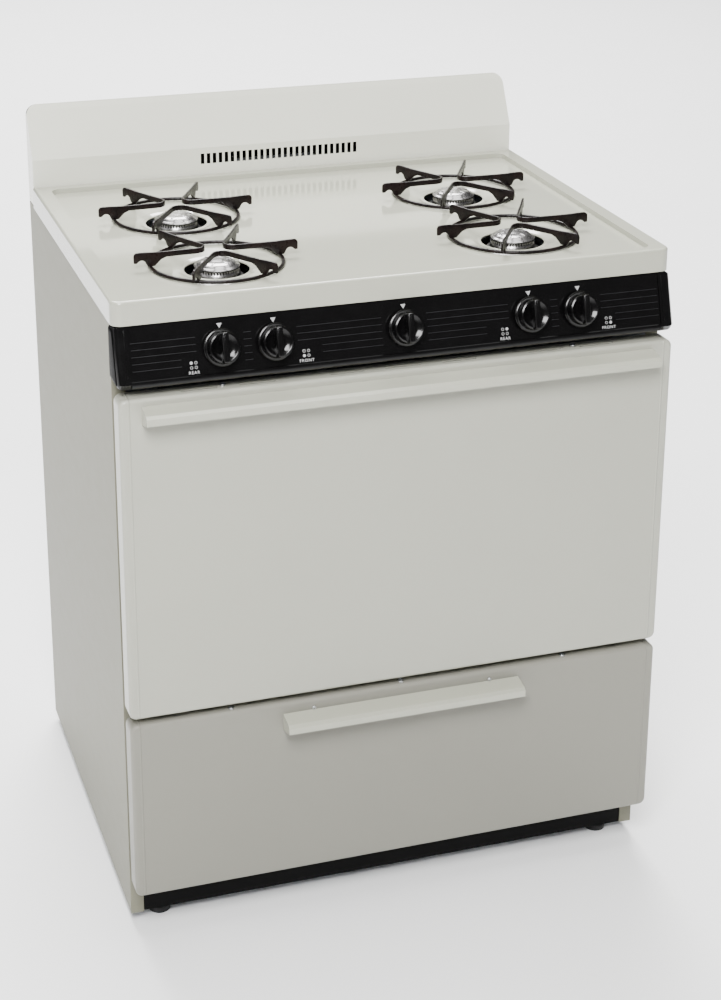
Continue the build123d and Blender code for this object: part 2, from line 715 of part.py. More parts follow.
def single_pieces():
    """Every node with one shape of its own."""
    side = both_sides(side_panel())
    return {
        "right_side_panel": side[0], "left_side_panel": side[1],
        "rear_panel": rear_panel(), "front_frame": front_frame(), "kick_plate": kick_plate(),
        "base_frame": base_frame(), "levelling_feet": levelling_feet(), "burner_box": burner_box(),
        "oven_liner": oven_liner(), "oven_bottom": oven_bottom(), "oven_insulation": oven_insulation(),
        "flue_duct": flue_duct(), "oven_burner": oven_burner(), "flame_spreader": flame_spreader(),
        "rack_guides": both_sides(rack_guide()), "sensing_bulb": sensing_bulb(),
        "manifold_pipe": manifold_pipe(), "gas_valves": gas_valves(),
        "pressure_regulator": pressure_regulator(), "pilot_burners": pilot_burners(),
        "cooktop": cooktop(), "backguard": backguard(), "control_panel": control_panel(),
        "door_skin": door_skin(), "door_liner": door_liner(), "door_insulation": door_insulation(),
        "door_gasket": door_gasket(), "door_handle": pull(350, 782), "door_screws": door_screws(),
        "hinge_arms": both_sides(hinge_arm()), "door_hinges": both_sides(door_hinge()),
        "drawer_front": drawer_front(), "drawer_liner": drawer_liner(),
        "drawer_tray": drawer_tray(), "drawer_handle": pull(170, 317), "drawer_screws": drawer_screws(),
        "drawer_tracks": both_sides(drawer_track()),
        "broiler_pan": broiler_pan(), "broiler_grid": broiler_grid(),
    }


def all_pieces():
    """Every node, with the repeated pieces made by loops."""
    pieces = single_pieces()
    pieces["burner_tubes"] = [burner_tube(*place) for place in burner_places()]
    for name, x, depth in burner_places():
        pieces[f"{name}_burner_head"] = burner_head(x, depth)
        pieces[f"{name}_grate"] = grate(x, depth)
    for name, height in RACK_HEIGHTS.items():
        pieces[name] = oven_rack(height)
    for name, x in CONTROLS.items():
        pieces[f"{name}_knob"] = knob(x)
    return pieces


def main():
    """Write one STEP file for each node."""
    os.makedirs("parts", exist_ok=True)
    pieces = all_pieces()
    for name, x in CONTROLS.items():
        pieces[f"{name}_stem"] = stem(x)
    for name, piece in pieces.items():
        shape = Compound(children=piece) if isinstance(piece, list) else piece
        shape.label = name
        export_step(shape, f"parts/{name}.step")
    print(len(pieces), "nodes")


main()
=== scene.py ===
"""Freestanding gas range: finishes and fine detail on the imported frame.

The sheet-metal body, doors and cooktop come from the frame and get their enamel,
paint and metal here.  The knobs, grates, burner heads, the panel's shell and print
and the small screws are built here and ride on the frame's bodies.
"""

import json
import logging
import math
from dataclasses import dataclass, field
from enum import Enum
from typing import Any, Iterable, Sequence

import bmesh
import bpy
from mathutils import Matrix, Vector

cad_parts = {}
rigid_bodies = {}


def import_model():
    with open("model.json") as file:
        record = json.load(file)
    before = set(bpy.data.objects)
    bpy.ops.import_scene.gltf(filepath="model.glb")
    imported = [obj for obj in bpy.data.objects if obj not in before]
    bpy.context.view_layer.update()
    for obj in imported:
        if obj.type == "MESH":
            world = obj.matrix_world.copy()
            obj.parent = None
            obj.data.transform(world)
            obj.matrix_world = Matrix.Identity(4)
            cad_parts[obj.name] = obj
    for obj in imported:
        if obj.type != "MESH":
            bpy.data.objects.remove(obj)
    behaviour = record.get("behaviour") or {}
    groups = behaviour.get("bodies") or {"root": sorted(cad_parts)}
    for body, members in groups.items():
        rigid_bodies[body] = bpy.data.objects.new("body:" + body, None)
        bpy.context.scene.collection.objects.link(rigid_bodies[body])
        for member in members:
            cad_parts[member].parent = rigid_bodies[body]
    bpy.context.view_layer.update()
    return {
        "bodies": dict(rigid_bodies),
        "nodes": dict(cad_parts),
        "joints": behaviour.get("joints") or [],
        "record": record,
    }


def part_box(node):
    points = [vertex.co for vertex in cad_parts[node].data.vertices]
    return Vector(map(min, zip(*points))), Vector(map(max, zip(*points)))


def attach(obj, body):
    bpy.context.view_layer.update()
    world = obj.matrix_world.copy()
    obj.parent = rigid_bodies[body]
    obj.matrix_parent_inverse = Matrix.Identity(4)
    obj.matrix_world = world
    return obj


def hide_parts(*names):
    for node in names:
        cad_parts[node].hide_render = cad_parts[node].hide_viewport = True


LOG = logging.getLogger("gas_range")
Colour = tuple[float, float, float]
Point = tuple[float, float]
Spot = tuple[float, float, float]

SMOOTH_DEGREES = 35.0
BLOCK_SEGMENTS = 3
NOISE_MEAN = 0.5
WELD = 1e-7
NEAR = 1e-6
PLACES = ("front_left", "front_right", "rear_left", "rear_right")


class Slot(Enum):
    """Material slots of the record."""

    BISQUE = "bisque_enamel"
    BLACK_PAINT = "black_paint"
    BLACK_PLASTIC = "black_plastic"
    GRATE = "grate_enamel"
    BURNER = "burner_metal"
    GREY_ENAMEL = "grey_enamel"
    WOOL = "mineral_wool"
    FOOT = "foot_rubber"
    RACK = "rack_wire"
    BRASS = "valve_brass"
    PIPE = "pipe_aluminium"
    PLATED = "plated_steel"
    GALVANISED = "galvanised_steel"


# ---------------------------------------------------------------- shader tools


class Value:
    """A shader socket that takes part in Python arithmetic."""

    def __init__(self, shader: "Shader", socket: bpy.types.NodeSocket) -> None:
        """Wrap a socket.

        Args:
            shader: The shader whose tree holds the socket.
            socket: The output socket to wrap.
        """
        self.shader = shader
        self.socket = socket

    def _math(self, operation: str, first: Any, second: Any = None) -> "Value":
        """Add a Math node.

        Args:
            operation: The node's operation.
            first: First operand, a number or a Value.
            second: Second operand, where the operation has one.

        Returns:
            The node's result.
        """
        operands = {i: v for i, v in enumerate((first, second)) if v is not None}
        return self.shader.value("ShaderNodeMath", {"operation": operation}, operands)

    def __add__(self, other: Any) -> "Value":
        """Sum."""
        return self._math("ADD", self, other)

    __radd__ = __add__

    def __sub__(self, other: Any) -> "Value":
        """Difference."""
        return self._math("SUBTRACT", self, other)

    def __rsub__(self, other: Any) -> "Value":
        """Reflected difference."""
        return self._math("SUBTRACT", other, self)

    def __mul__(self, other: Any) -> "Value":
        """Product."""
        return self._math("MULTIPLY", self, other)

    def __truediv__(self, other: Any) -> "Value":
        """Quotient."""
        return self._math("DIVIDE", self, other)

    def __abs__(self) -> "Value":
        """Absolute value."""
        return self._math("ABSOLUTE", self)

    def clamped(self) -> "Value":
        """The value held between zero and one."""
        return self._math("MINIMUM", self._math("MAXIMUM", self, 0.0), 1.0)

    def larger(self, other: Any) -> "Value":
        """The larger of this and another value."""
        return self._math("MAXIMUM", self, other)

    def line(self, centre: float, width: float) -> "Value":
        """A ridge of one at a centre, falling to zero at a half-width.

        Args:
            centre: Where the ridge stands.
            width: Half-width of its foot.

        Returns:
            The ridge's height.
        """
        return (1.0 - abs(self - centre) / width).clamped()


class Shader:
    """The node tree of one material."""

    NOISE_ROUGHNESS = 0.55

    def __init__(self, name: str) -> None:
        """Start a material.

        Args:
            name: The material's name.
        """
        self.material = bpy.data.materials.new(name)
        self.material.use_nodes = True
        self.tree = self.material.node_tree
        self.surface = self.tree.nodes["Principled BSDF"]

    def node(
        self, kind: str, settings: dict[str, Any], inputs: dict[Any, Any]
    ) -> bpy.types.Node:
        """Add a node, with its settings first.

        Args:
            kind: The node's type.
            settings: The node's own settings.
            inputs: Numbers, tuples, Values or sockets by input name or index.

        Returns:
            The new node.
        """
        made = self.tree.nodes.new(kind)
        for key, setting in settings.items():
            setattr(made, key, setting)
        for key, given in inputs.items():
            self.feed(made.inputs[key], given)
        return made

    def feed(self, target: bpy.types.NodeSocket, given: Any) -> None:
        """Link or set one input.

        Args:
            target: The input socket.
            given: A Value, a socket or a plain value.
        """
        if isinstance(given, Value):
            given = given.socket
        if isinstance(given, bpy.types.NodeSocket):
            self.tree.links.new(given, target)
        else:
            target.default_value = given

    def value(
        self, kind: str, settings: dict[str, Any], inputs: dict[Any, Any], out: Any = 0
    ) -> Value:
        """Add a node and wrap one of its outputs.

        Args:
            kind: The node's type.
            settings: The node's own settings.
            inputs: The node's inputs.
            out: Name or index of the output.

        Returns:
            The wrapped output.
        """
        return Value(self, self.node(kind, settings, inputs).outputs[out])

    def place(self) -> bpy.types.NodeSocket:
        """Object coordinates."""
        return self.node("ShaderNodeTexCoord", {}, {}).outputs["Object"]

    def axes(self) -> tuple[Value, Value, Value]:
        """The three object coordinates in metres."""
        split = self.node("ShaderNodeSeparateXYZ", {}, {0: self.place()})
        return tuple(Value(self, out) for out in split.outputs)

    def noise(self, scale: float, detail: float, stretch: Spot = (1.0, 1.0, 1.0)) -> Value:
        """Noise on object coordinates.

        Args:
            scale: Cells per metre.
            detail: Octaves.
            stretch: Scale factors along the axes.

        Returns:
            Noise of about 0.5 on average.
        """
        mapping = self.node("ShaderNodeMapping", {}, {"Vector": self.place(), "Scale": stretch})
        inputs = {"Vector": mapping.outputs[0], "Scale": scale}
        inputs |= {"Detail": detail, "Roughness": self.NOISE_ROUGHNESS}
        return self.value("ShaderNodeTexNoise", {}, inputs)

    def cells(self, scale: float, out: str = "Distance") -> Value:
        """Voronoi cells on object coordinates.

        Args:
            scale: Cells per metre.
            out: The output to read.

        Returns:
            The chosen output.
        """
        inputs = {"Vector": self.place(), "Scale": scale}
        return self.value("ShaderNodeTexVoronoi", {}, inputs, out)

    def mixed(self, share: Any, low: Any, high: Colour) -> bpy.types.NodeSocket:
        """A colour between two.

        Args:
            share: How far towards the second colour, from 0 to 1.
            low: First colour, plain or as a socket.
            high: Second colour.

        Returns:
            The mixed colour's socket.
        """
        first = low if isinstance(low, bpy.types.NodeSocket) else (*low, 1.0)
        settings = {"data_type": "RGBA", "blend_type": "MIX"}
        inputs = {"Factor": share, 6: first, 7: (*high, 1.0)}
        return self.node("ShaderNodeMix", settings, inputs).outputs[2]

    def bump(self, height: Value, depth: float) -> None:
        """Feed a height to the surface's normal.

        Args:
            height: Height from 0 to 1.
            depth: Depth of the relief in metres.
        """
        inputs = {"Height": height, "Distance": depth, "Strength": 1.0}
        made = self.node("ShaderNodeBump", {}, inputs)
        self.feed(self.surface.inputs["Normal"], made.outputs[0])

    def set(self, **inputs: Any) -> None:
        """Set or feed the surface's inputs; underscores stand for spaces."""
        for key, given in inputs.items():
            self.feed(self.surface.inputs[key.replace("_", " ")], given)


# ---------------------------------------------------------------- finishes


@dataclass(frozen=True)
class Finish:
    """A material with a name and a ground colour."""

    name: str
    colour: Colour
    roughness: float

    def scaled(self, factor: float) -> Colour:
        """The ground colour made lighter or darker."""
        return tuple(min(1.0, c * factor) for c in self.colour)

    def varied(self, noise: Value, amount: float) -> Value:
        """The roughness, varied by a noise."""
        return self.roughness + (noise - NOISE_MEAN) * amount

    def dress(self, shader: Shader) -> None:
        """Wire the finish into a shader; each finish has its own.

        Args:
            shader: The shader to wire.
        """
        raise NotImplementedError

    def material(self) -> bpy.types.Material:
        """Build the finish.

        Returns:
            The new material.
        """
        shader = Shader(self.name)
        self.dress(shader)
        return shader.material


@dataclass(frozen=True)
class Enamel(Finish):
    """Glossy porcelain or paint with a faint orange peel and mottle."""

    coat: float = 0.35
    ior: float = 1.5
    peel: float = 0.00004
    peel_scale: float = 420.0
    mottle_scale: float = 9.0
    mottle_share: float = 0.7
    speck_scale: float = 900.0
    darkest: float = 0.965
    palest: float = 1.03
    smear_scale: float = 24.0
    smear_stretch: Spot = (1.0, 1.0, 2.5)
    smear: float = 0.07
    coat_roughness: float = 0.06

    def relief(self, shader: Shader) -> Value:
        """Height of the surface, the orange peel alone here."""
        return shader.noise(self.peel_scale, 2.0)

    def tint(self, shader: Shader, ground: bpy.types.NodeSocket) -> bpy.types.NodeSocket:
        """The finished colour, unchanged here."""
        return ground

    def dress(self, shader: Shader) -> None:
        """Wire the enamel.

        Args:
            shader: The shader to wire.
        """
        mottle = shader.noise(self.mottle_scale, 4.0) * self.mottle_share
        specks = shader.noise(self.speck_scale, 2.0) * (1.0 - self.mottle_share)
        low, high = self.scaled(self.darkest), self.scaled(self.palest)
        colour = self.tint(shader, shader.mixed(mottle + specks, low, high))
        smear = shader.noise(self.smear_scale, 5.0, self.smear_stretch)
        shader.set(Base_Color=colour, Roughness=self.varied(smear, self.smear))
        shader.set(Coat_Weight=self.coat, Coat_Roughness=self.coat_roughness, IOR=self.ior)
        shader.bump(self.relief(shader), self.peel)


@dataclass(frozen=True)
class CreasedEnamel(Enamel):
    """Enamel on a front with a pressed line along each side edge."""

    crease: float = 0.3662
    crease_width: float = 0.0016
    crease_height: float = 0.7
    peel: float = 0.0010
    peel_height: float = 0.012

    def relief(self, shader: Shader) -> Value:
        """Height of the orange peel with the two pressed lines.

        Args:
            shader: The shader to wire.

        Returns:
            The height.
        """
        pressed = abs(shader.axes()[0]).line(self.crease, self.crease_width)
        peel = shader.noise(self.peel_scale, 2.0)
        return peel * self.peel_height + pressed * self.crease_height


@dataclass(frozen=True)
class GuardEnamel(Enamel):
    """Backguard enamel, with near-black painted shade on its hidden inner faces."""

    # Near-black painted shade for the hidden inner faces, seen dark through the vent slots.
    ground: Colour = (0.012, 0.012, 0.013)
    front: float = 0.284
    bend: float = 0.954
    slope: float = 0.537
    back: float = 0.3254
    half: float = 0.3779
    top: float = 1.0284
    margin: float = 0.0006
    steepness: float = 4000.0

    def inner_shade_mask(self, shader: Shader) -> Value:
        """Mask of the painted shade: one on the hidden faces, zero on the outer ones.

        Args:
            shader: The shader to wire.

        Returns:
            The mask.
        """
        across, back, up = shader.axes()
        face = ((up - self.bend) * self.slope).larger(0.0) + self.front
        insets = (
            back - face - self.margin, self.back - back, self.half - abs(across), self.top - up,
        )
        mask, *others = [(inset * self.steepness).clamped() for inset in insets]
        for other in others:
            mask = mask * other
        return mask

    def tint(self, shader: Shader, ground: bpy.types.NodeSocket) -> bpy.types.NodeSocket:
        """The colour with the painted shade on the hidden faces."""
        return shader.mixed(self.inner_shade_mask(shader), ground, self.ground)


@dataclass(frozen=True)
class Plastic(Finish):
    """Moulded plastic with a fine grain and faint handling marks."""

    coat: float = 0.5
    ior: float = 1.36
    grain: float = 0.00002
    grain_scale: float = 1400.0
    wear_scale: float = 60.0
    wear: float = 0.18
    darkest: float = 0.8
    palest: float = 1.35
    coat_roughness: float = 0.08

    def dress(self, shader: Shader) -> None:
        """Wire the plastic.

        Args:
            shader: The shader to wire.
        """
        wear = shader.noise(self.wear_scale, 5.0)
        colour = shader.mixed(wear, self.scaled(self.darkest), self.scaled(self.palest))
        shader.set(Base_Color=colour, Roughness=self.varied(wear, self.wear))
        shader.set(Coat_Weight=self.coat, Coat_Roughness=self.coat_roughness, IOR=self.ior)
        shader.bump(shader.noise(self.grain_scale, 2.0), self.grain)


@dataclass(frozen=True)
class IronEnamel(Finish):
    """Thick dark enamel over bent steel, thin and browner on some edges."""

    brown: Colour = (0.012, 0.0065, 0.0060)
    patch_scale: float = 45.0
    patch_floor: float = 0.42
    patch_contrast: float = 2.6
    lump_scale: float = 260.0
    lump_depth: float = 0.0004
    unevenness: float = 0.3
    ior: float = 1.26

    def dress(self, shader: Shader) -> None:
        """Wire the enamel.

        Args:
            shader: The shader to wire.
        """
        patch = (shader.noise(self.patch_scale, 5.0) - self.patch_floor) * self.patch_contrast
        lumps = shader.noise(self.lump_scale, 4.0)
        colour = shader.mixed(patch.clamped(), self.colour, self.brown)
        roughness = self.varied(lumps, self.unevenness)
        shader.set(Base_Color=colour, Roughness=roughness, Coat_Weight=0.0, IOR=self.ior)
        shader.bump(lumps, self.lump_depth)


@dataclass(frozen=True)
class SpeckledEnamel(Finish):
    """Dark oven enamel with pale specks."""

    speck: Colour = (0.55, 0.57, 0.60)
    speck_scale: float = 420.0
    speck_radius: float = 0.16
    speck_contrast: float = 14.0
    speck_share: float = 0.7
    tone_scale: float = 14.0
    unevenness: float = 0.2
    relief_scale: float = 350.0
    relief: float = 0.00008
    coat: float = 0.3
    coat_roughness: float = 0.1

    def dress(self, shader: Shader) -> None:
        """Wire the enamel.

        Args:
            shader: The shader to wire.
        """
        specks = (self.speck_radius - shader.cells(self.speck_scale)) * self.speck_contrast
        tone = shader.noise(self.tone_scale, 4.0)
        colour = shader.mixed(specks.clamped() * self.speck_share, self.colour, self.speck)
        roughness = self.varied(tone, self.unevenness)
        shader.set(Base_Color=colour, Roughness=roughness)
        shader.set(Coat_Weight=self.coat, Coat_Roughness=self.coat_roughness)
        shader.bump(shader.noise(self.relief_scale, 3.0), self.relief)


@dataclass(frozen=True)
class Metal(Finish):
    """Bare metal with a fine grain and tarnish."""

    grain_scale: float = 300.0
    tarnish: float = 0.75
    depth: float = 0.00006
    stain_scale: float = 30.0
    stain_contrast: float = 1.6
    stain_floor: float = 0.3
    palest: float = 1.05
    unevenness: float = 0.25

    def dress(self, shader: Shader) -> None:
        """Wire the metal.

        Args:
            shader: The shader to wire.
        """
        stain = shader.noise(self.stain_scale, 5.0) * self.stain_contrast - self.stain_floor
        grain = shader.noise(self.grain_scale, 3.0)
        low, high = self.scaled(self.tarnish), self.scaled(self.palest)
        roughness = self.varied(grain, self.unevenness)
        colour = shader.mixed(stain.clamped(), low, high)
        shader.set(Base_Color=colour, Metallic=1.0, Roughness=roughness)
        shader.bump(grain, self.depth)


@dataclass(frozen=True)
class Spangle(Finish):
    """Galvanised sheet with its zinc crystals."""

    crystal_scale: float = 70.0
    crystal_share: float = 0.8
    darkest: float = 0.72
    palest: float = 1.12
    metallic: float = 0.9
    unevenness: float = 0.22
    relief_scale: float = 200.0
    relief: float = 0.00008

    def dress(self, shader: Shader) -> None:
        """Wire the sheet.

        Args:
            shader: The shader to wire.
        """
        crystals = shader.cells(self.crystal_scale, "Color")
        low, high = self.scaled(self.darkest), self.scaled(self.palest)
        colour = shader.mixed(crystals * self.crystal_share, low, high)
        roughness = self.roughness + crystals * self.unevenness
        shader.set(Base_Color=colour, Metallic=self.metallic, Roughness=roughness)
        shader.bump(shader.noise(self.relief_scale, 3.0), self.relief)


@dataclass(frozen=True)
class Wool(Finish):
    """Fibrous mineral wool."""

    strand_scale: float = 260.0
    strand_stretch: Spot = (1.0, 4.0, 1.0)
    strand_depth: float = 0.002
    darkest: float = 0.6
    palest: float = 1.2
    unevenness: float = 0.1

    def dress(self, shader: Shader) -> None:
        """Wire the wool.

        Args:
            shader: The shader to wire.
        """
        strands = shader.noise(self.strand_scale, 6.0, self.strand_stretch)
        colour = shader.mixed(strands, self.scaled(self.darkest), self.scaled(self.palest))
        shader.set(Base_Color=colour, Roughness=self.roughness + strands * self.unevenness)
        shader.bump(strands, self.strand_depth)


PANEL_BLACK: Colour = (0.0018, 0.0017, 0.0018)
KICK_BLACK: Colour = (0.0015, 0.0015, 0.0015)
FINISHES: dict[Slot, Finish] = {
    Slot.BISQUE: Enamel("bisque_enamel_gloss", (0.345, 0.348, 0.284), 0.10),
    Slot.BLACK_PAINT: Plastic("black_kick_paint", KICK_BLACK, 0.55, coat=0.0, ior=1.18),
    Slot.BLACK_PLASTIC: Plastic("black_moulded_plastic", PANEL_BLACK, 0.17, coat=0.05, ior=1.33),
    Slot.GRATE: IronEnamel("dark_grate_enamel", (0.0036, 0.0024, 0.0024), 0.30),
    Slot.BURNER: Metal(
        "burner_aluminium", (0.42, 0.41, 0.405), 0.26, grain_scale=900.0, tarnish=0.5
    ),
    Slot.GREY_ENAMEL: SpeckledEnamel("speckled_oven_enamel", (0.035, 0.04, 0.05), 0.30),
    Slot.WOOL: Wool("mineral_wool", (0.30, 0.26, 0.17), 0.85),
    Slot.FOOT: Plastic("foot_polymer", (0.008, 0.008, 0.008), 0.5, coat=0.0),
    Slot.RACK: Metal("bright_rack_wire", (0.72, 0.72, 0.72), 0.18, depth=0.00002),
    Slot.BRASS: Metal("valve_brass", (0.62, 0.42, 0.16), 0.30),
    Slot.PIPE: Metal("pipe_aluminium", (0.56, 0.56, 0.57), 0.38),
    Slot.PLATED: Metal("zinc_plated_steel", (0.55, 0.56, 0.58), 0.30, depth=0.00002),
    Slot.GALVANISED: Spangle("galvanised_sheet", (0.46, 0.48, 0.50), 0.30),
}
# The side panels' bisque is a shaded copy, darker than the front's, for the sides turned from the
# light: painted shade.
SHADED_SIDE_FINISH = Enamel("bisque_side_painted_shade", (0.190, 0.186, 0.140), 0.42, 0.0, 1.22)
NODE_FINISHES: dict[str, Finish] = {
    "door_skin": CreasedEnamel("bisque_front_enamel", (0.335, 0.336, 0.283), 0.30, 0.12, 1.42),
    # The drawer front's bisque is a shaded copy, darker than the door's, for the dimmer light low
    # on the range: painted shade.
    "drawer_front": CreasedEnamel("bisque_drawer_painted_shade", (0.200, 0.196, 0.166), 0.38, 0.05, 1.36),
    "left_side_panel": SHADED_SIDE_FINISH,
    "right_side_panel": SHADED_SIDE_FINISH,
    # The backguard's bisque is a lit copy, far paler than the cooktop's own bisque: painted light
    # on the top of the range.
    "backguard": GuardEnamel("bisque_backguard_painted_light", (0.600, 0.602, 0.520), 0.20),
}
STRIPE_FINISH = Plastic("grey_stripe_print", (0.009, 0.009, 0.010), 0.35, coat=0.1)
END_FINISH = Plastic("black_panel_end", PANEL_BLACK, 0.22, coat=0.0, ior=1.03)
LEGEND_FINISH = Plastic("white_legend_print", (0.36, 0.36, 0.36), 0.45, coat=0.1)
# Near-black painted shade for the insides of the burner ports.
PORT_SHADE_FINISH = Metal("painted_port_shade", (0.030, 0.028, 0.026), 0.6)


class Palette:
    """Builds each finish once and hands it out."""

    def __init__(self) -> None:
        """Start with nothing built."""
        self.built: dict[str, bpy.types.Material] = {}

    def of(self, finish: Finish) -> bpy.types.Material:
        """The material of a finish.

        Args:
            finish: The finish wanted.

        Returns:
            Its material, built at the first call.
        """
        if finish.name not in self.built:
            self.built[finish.name] = finish.material()
        return self.built[finish.name]

    def plain(self, slot: Slot) -> bpy.types.Material:
        """The material of a slot's own finish."""
        return self.of(FINISHES[slot])


# ---------------------------------------------------------------- mesh tools


class Solid:
    """A mesh in the making, placed in the frame before it becomes a piece."""

    def __init__(self) -> None:
        """Start empty."""
        self.mesh = bmesh.new()

    def spun(self, outline: Sequence[Point], steps: int, place: Matrix) -> "Solid":
        """Add a turned shape about the local Z axis.

        Args:
            outline: Radius and height of each point, from the axis and back to it.
            steps: Number of steps round.
            place: Where the shape goes.

        Returns:
            This solid.
        """
        part = bmesh.new()
        verts = [part.verts.new((r, 0.0, z)) for r, z in outline]
        edges = [part.edges.new(pair) for pair in zip(verts, verts[1:])]
        bmesh.ops.spin(
            part, geom=verts + edges, cent=(0, 0, 0), axis=(0, 0, 1), dvec=(0, 0, 0),
            angle=math.tau, steps=steps, use_merge=True, use_duplicate=False,
        )
        bmesh.ops.remove_doubles(part, verts=part.verts, dist=WELD)
        bmesh.ops.recalc_face_normals(part, faces=part.faces)
        return self.merged(part, place)

    def block(
        self, size: Spot, place: Matrix, bevel: float = 0.0, taper: float = 1.0
    ) -> "Solid":
        """Add a box centred in plan, standing on the local XY plane.

        Args:
            size: Length, width and height.
            place: Where the box goes.
            bevel: Width of its rounded edges.
            taper: Scale of the top's width along local X.

        Returns:
            This solid.
        """
        part = bmesh.new()
        bmesh.ops.create_cube(part, size=1.0)
        bmesh.ops.translate(part, verts=part.verts, vec=(0, 0, 0.5))
        bmesh.ops.scale(part, verts=part.verts, vec=size)
        top = [v for v in part.verts if v.co.z > size[2] / 2]
        bmesh.ops.scale(part, verts=top, vec=(taper, 1.0, 1.0))
        if bevel:
            bmesh.ops.bevel(
                part, geom=part.edges[:], offset=bevel, offset_type="OFFSET", affect="EDGES",
                segments=BLOCK_SEGMENTS, profile=0.5, material=-1,
            )
        return self.merged(part, place)

    def merged(self, part: bmesh.types.BMesh, place: Matrix) -> "Solid":
        """Add another mesh.

        Args:
            part: The mesh to add; it is freed.
            place: Where it goes.

        Returns:
            This solid.
        """
        bmesh.ops.transform(part, matrix=place, verts=part.verts)
        joined = bpy.data.meshes.new("part")
        part.to_mesh(joined)
        part.free()
        self.mesh.from_mesh(joined)
        bpy.data.meshes.remove(joined)
        return self

    def piece(
        self, name: str, body: str, slot: Slot, *materials: bpy.types.Material
    ) -> bpy.types.Object:
        """Turn the solid into a piece that rides on a body.

        Args:
            name: The piece's name.
            body: The body that it rides on.
            slot: The record's slot; not used.
            materials: Its materials in index order.

        Returns:
            The new object.
        """
        data = bpy.data.meshes.new(name)
        self.mesh.to_mesh(data)
        self.mesh.free()
        for material in materials:
            data.materials.append(material)
        made = bpy.data.objects.new(name, data)
        bpy.context.scene.collection.objects.link(made)
        data.polygons.foreach_set("use_smooth", [True] * len(data.polygons))
        data.set_sharp_from_angle(angle=math.radians(SMOOTH_DEGREES))
        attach(made, body)
        LOG.info("%s: %d faces on %s", name, len(data.polygons), body)
        return made


def close_up(part: bmesh.types.BMesh) -> None:
    """Cap any open end and turn the faces outwards.

    Args:
        part: The mesh to close.
    """
    bmesh.ops.holes_fill(part, edges=[e for e in part.edges if e.is_boundary], sides=0)
    bmesh.ops.recalc_face_normals(part, faces=part.faces)


def extruded(part: bmesh.types.BMesh, face: bmesh.types.BMFace, move: Spot) -> None:
    """Extrude a face into a closed prism.

    Args:
        part: The mesh that holds the face.
        face: The face to extrude.
        move: How far the copy moves.
    """
    moved = bmesh.ops.extrude_face_region(part, geom=[face])
    verts = [v for v in moved["geom"] if isinstance(v, bmesh.types.BMVert)]
    bmesh.ops.translate(part, verts=verts, vec=move)
    close_up(part)


def plane_matrix(origin: Sequence[float], normal: Sequence[float]) -> Matrix:
    """Placement with local Z along a normal and local X along the range's X.

    Args:
        origin: Where the local origin goes.
        normal: Direction of the local Z axis, square to X.

    Returns:
        The placement.
    """
    z = Vector(normal).normalized()
    x = Vector((1, 0, 0))
    y = z.cross(x)
    turn = Matrix((x, y, z)).transposed().to_4x4()
    return Matrix.Translation(Vector(origin)) @ turn


# ---------------------------------------------------------------- sub-assemblies


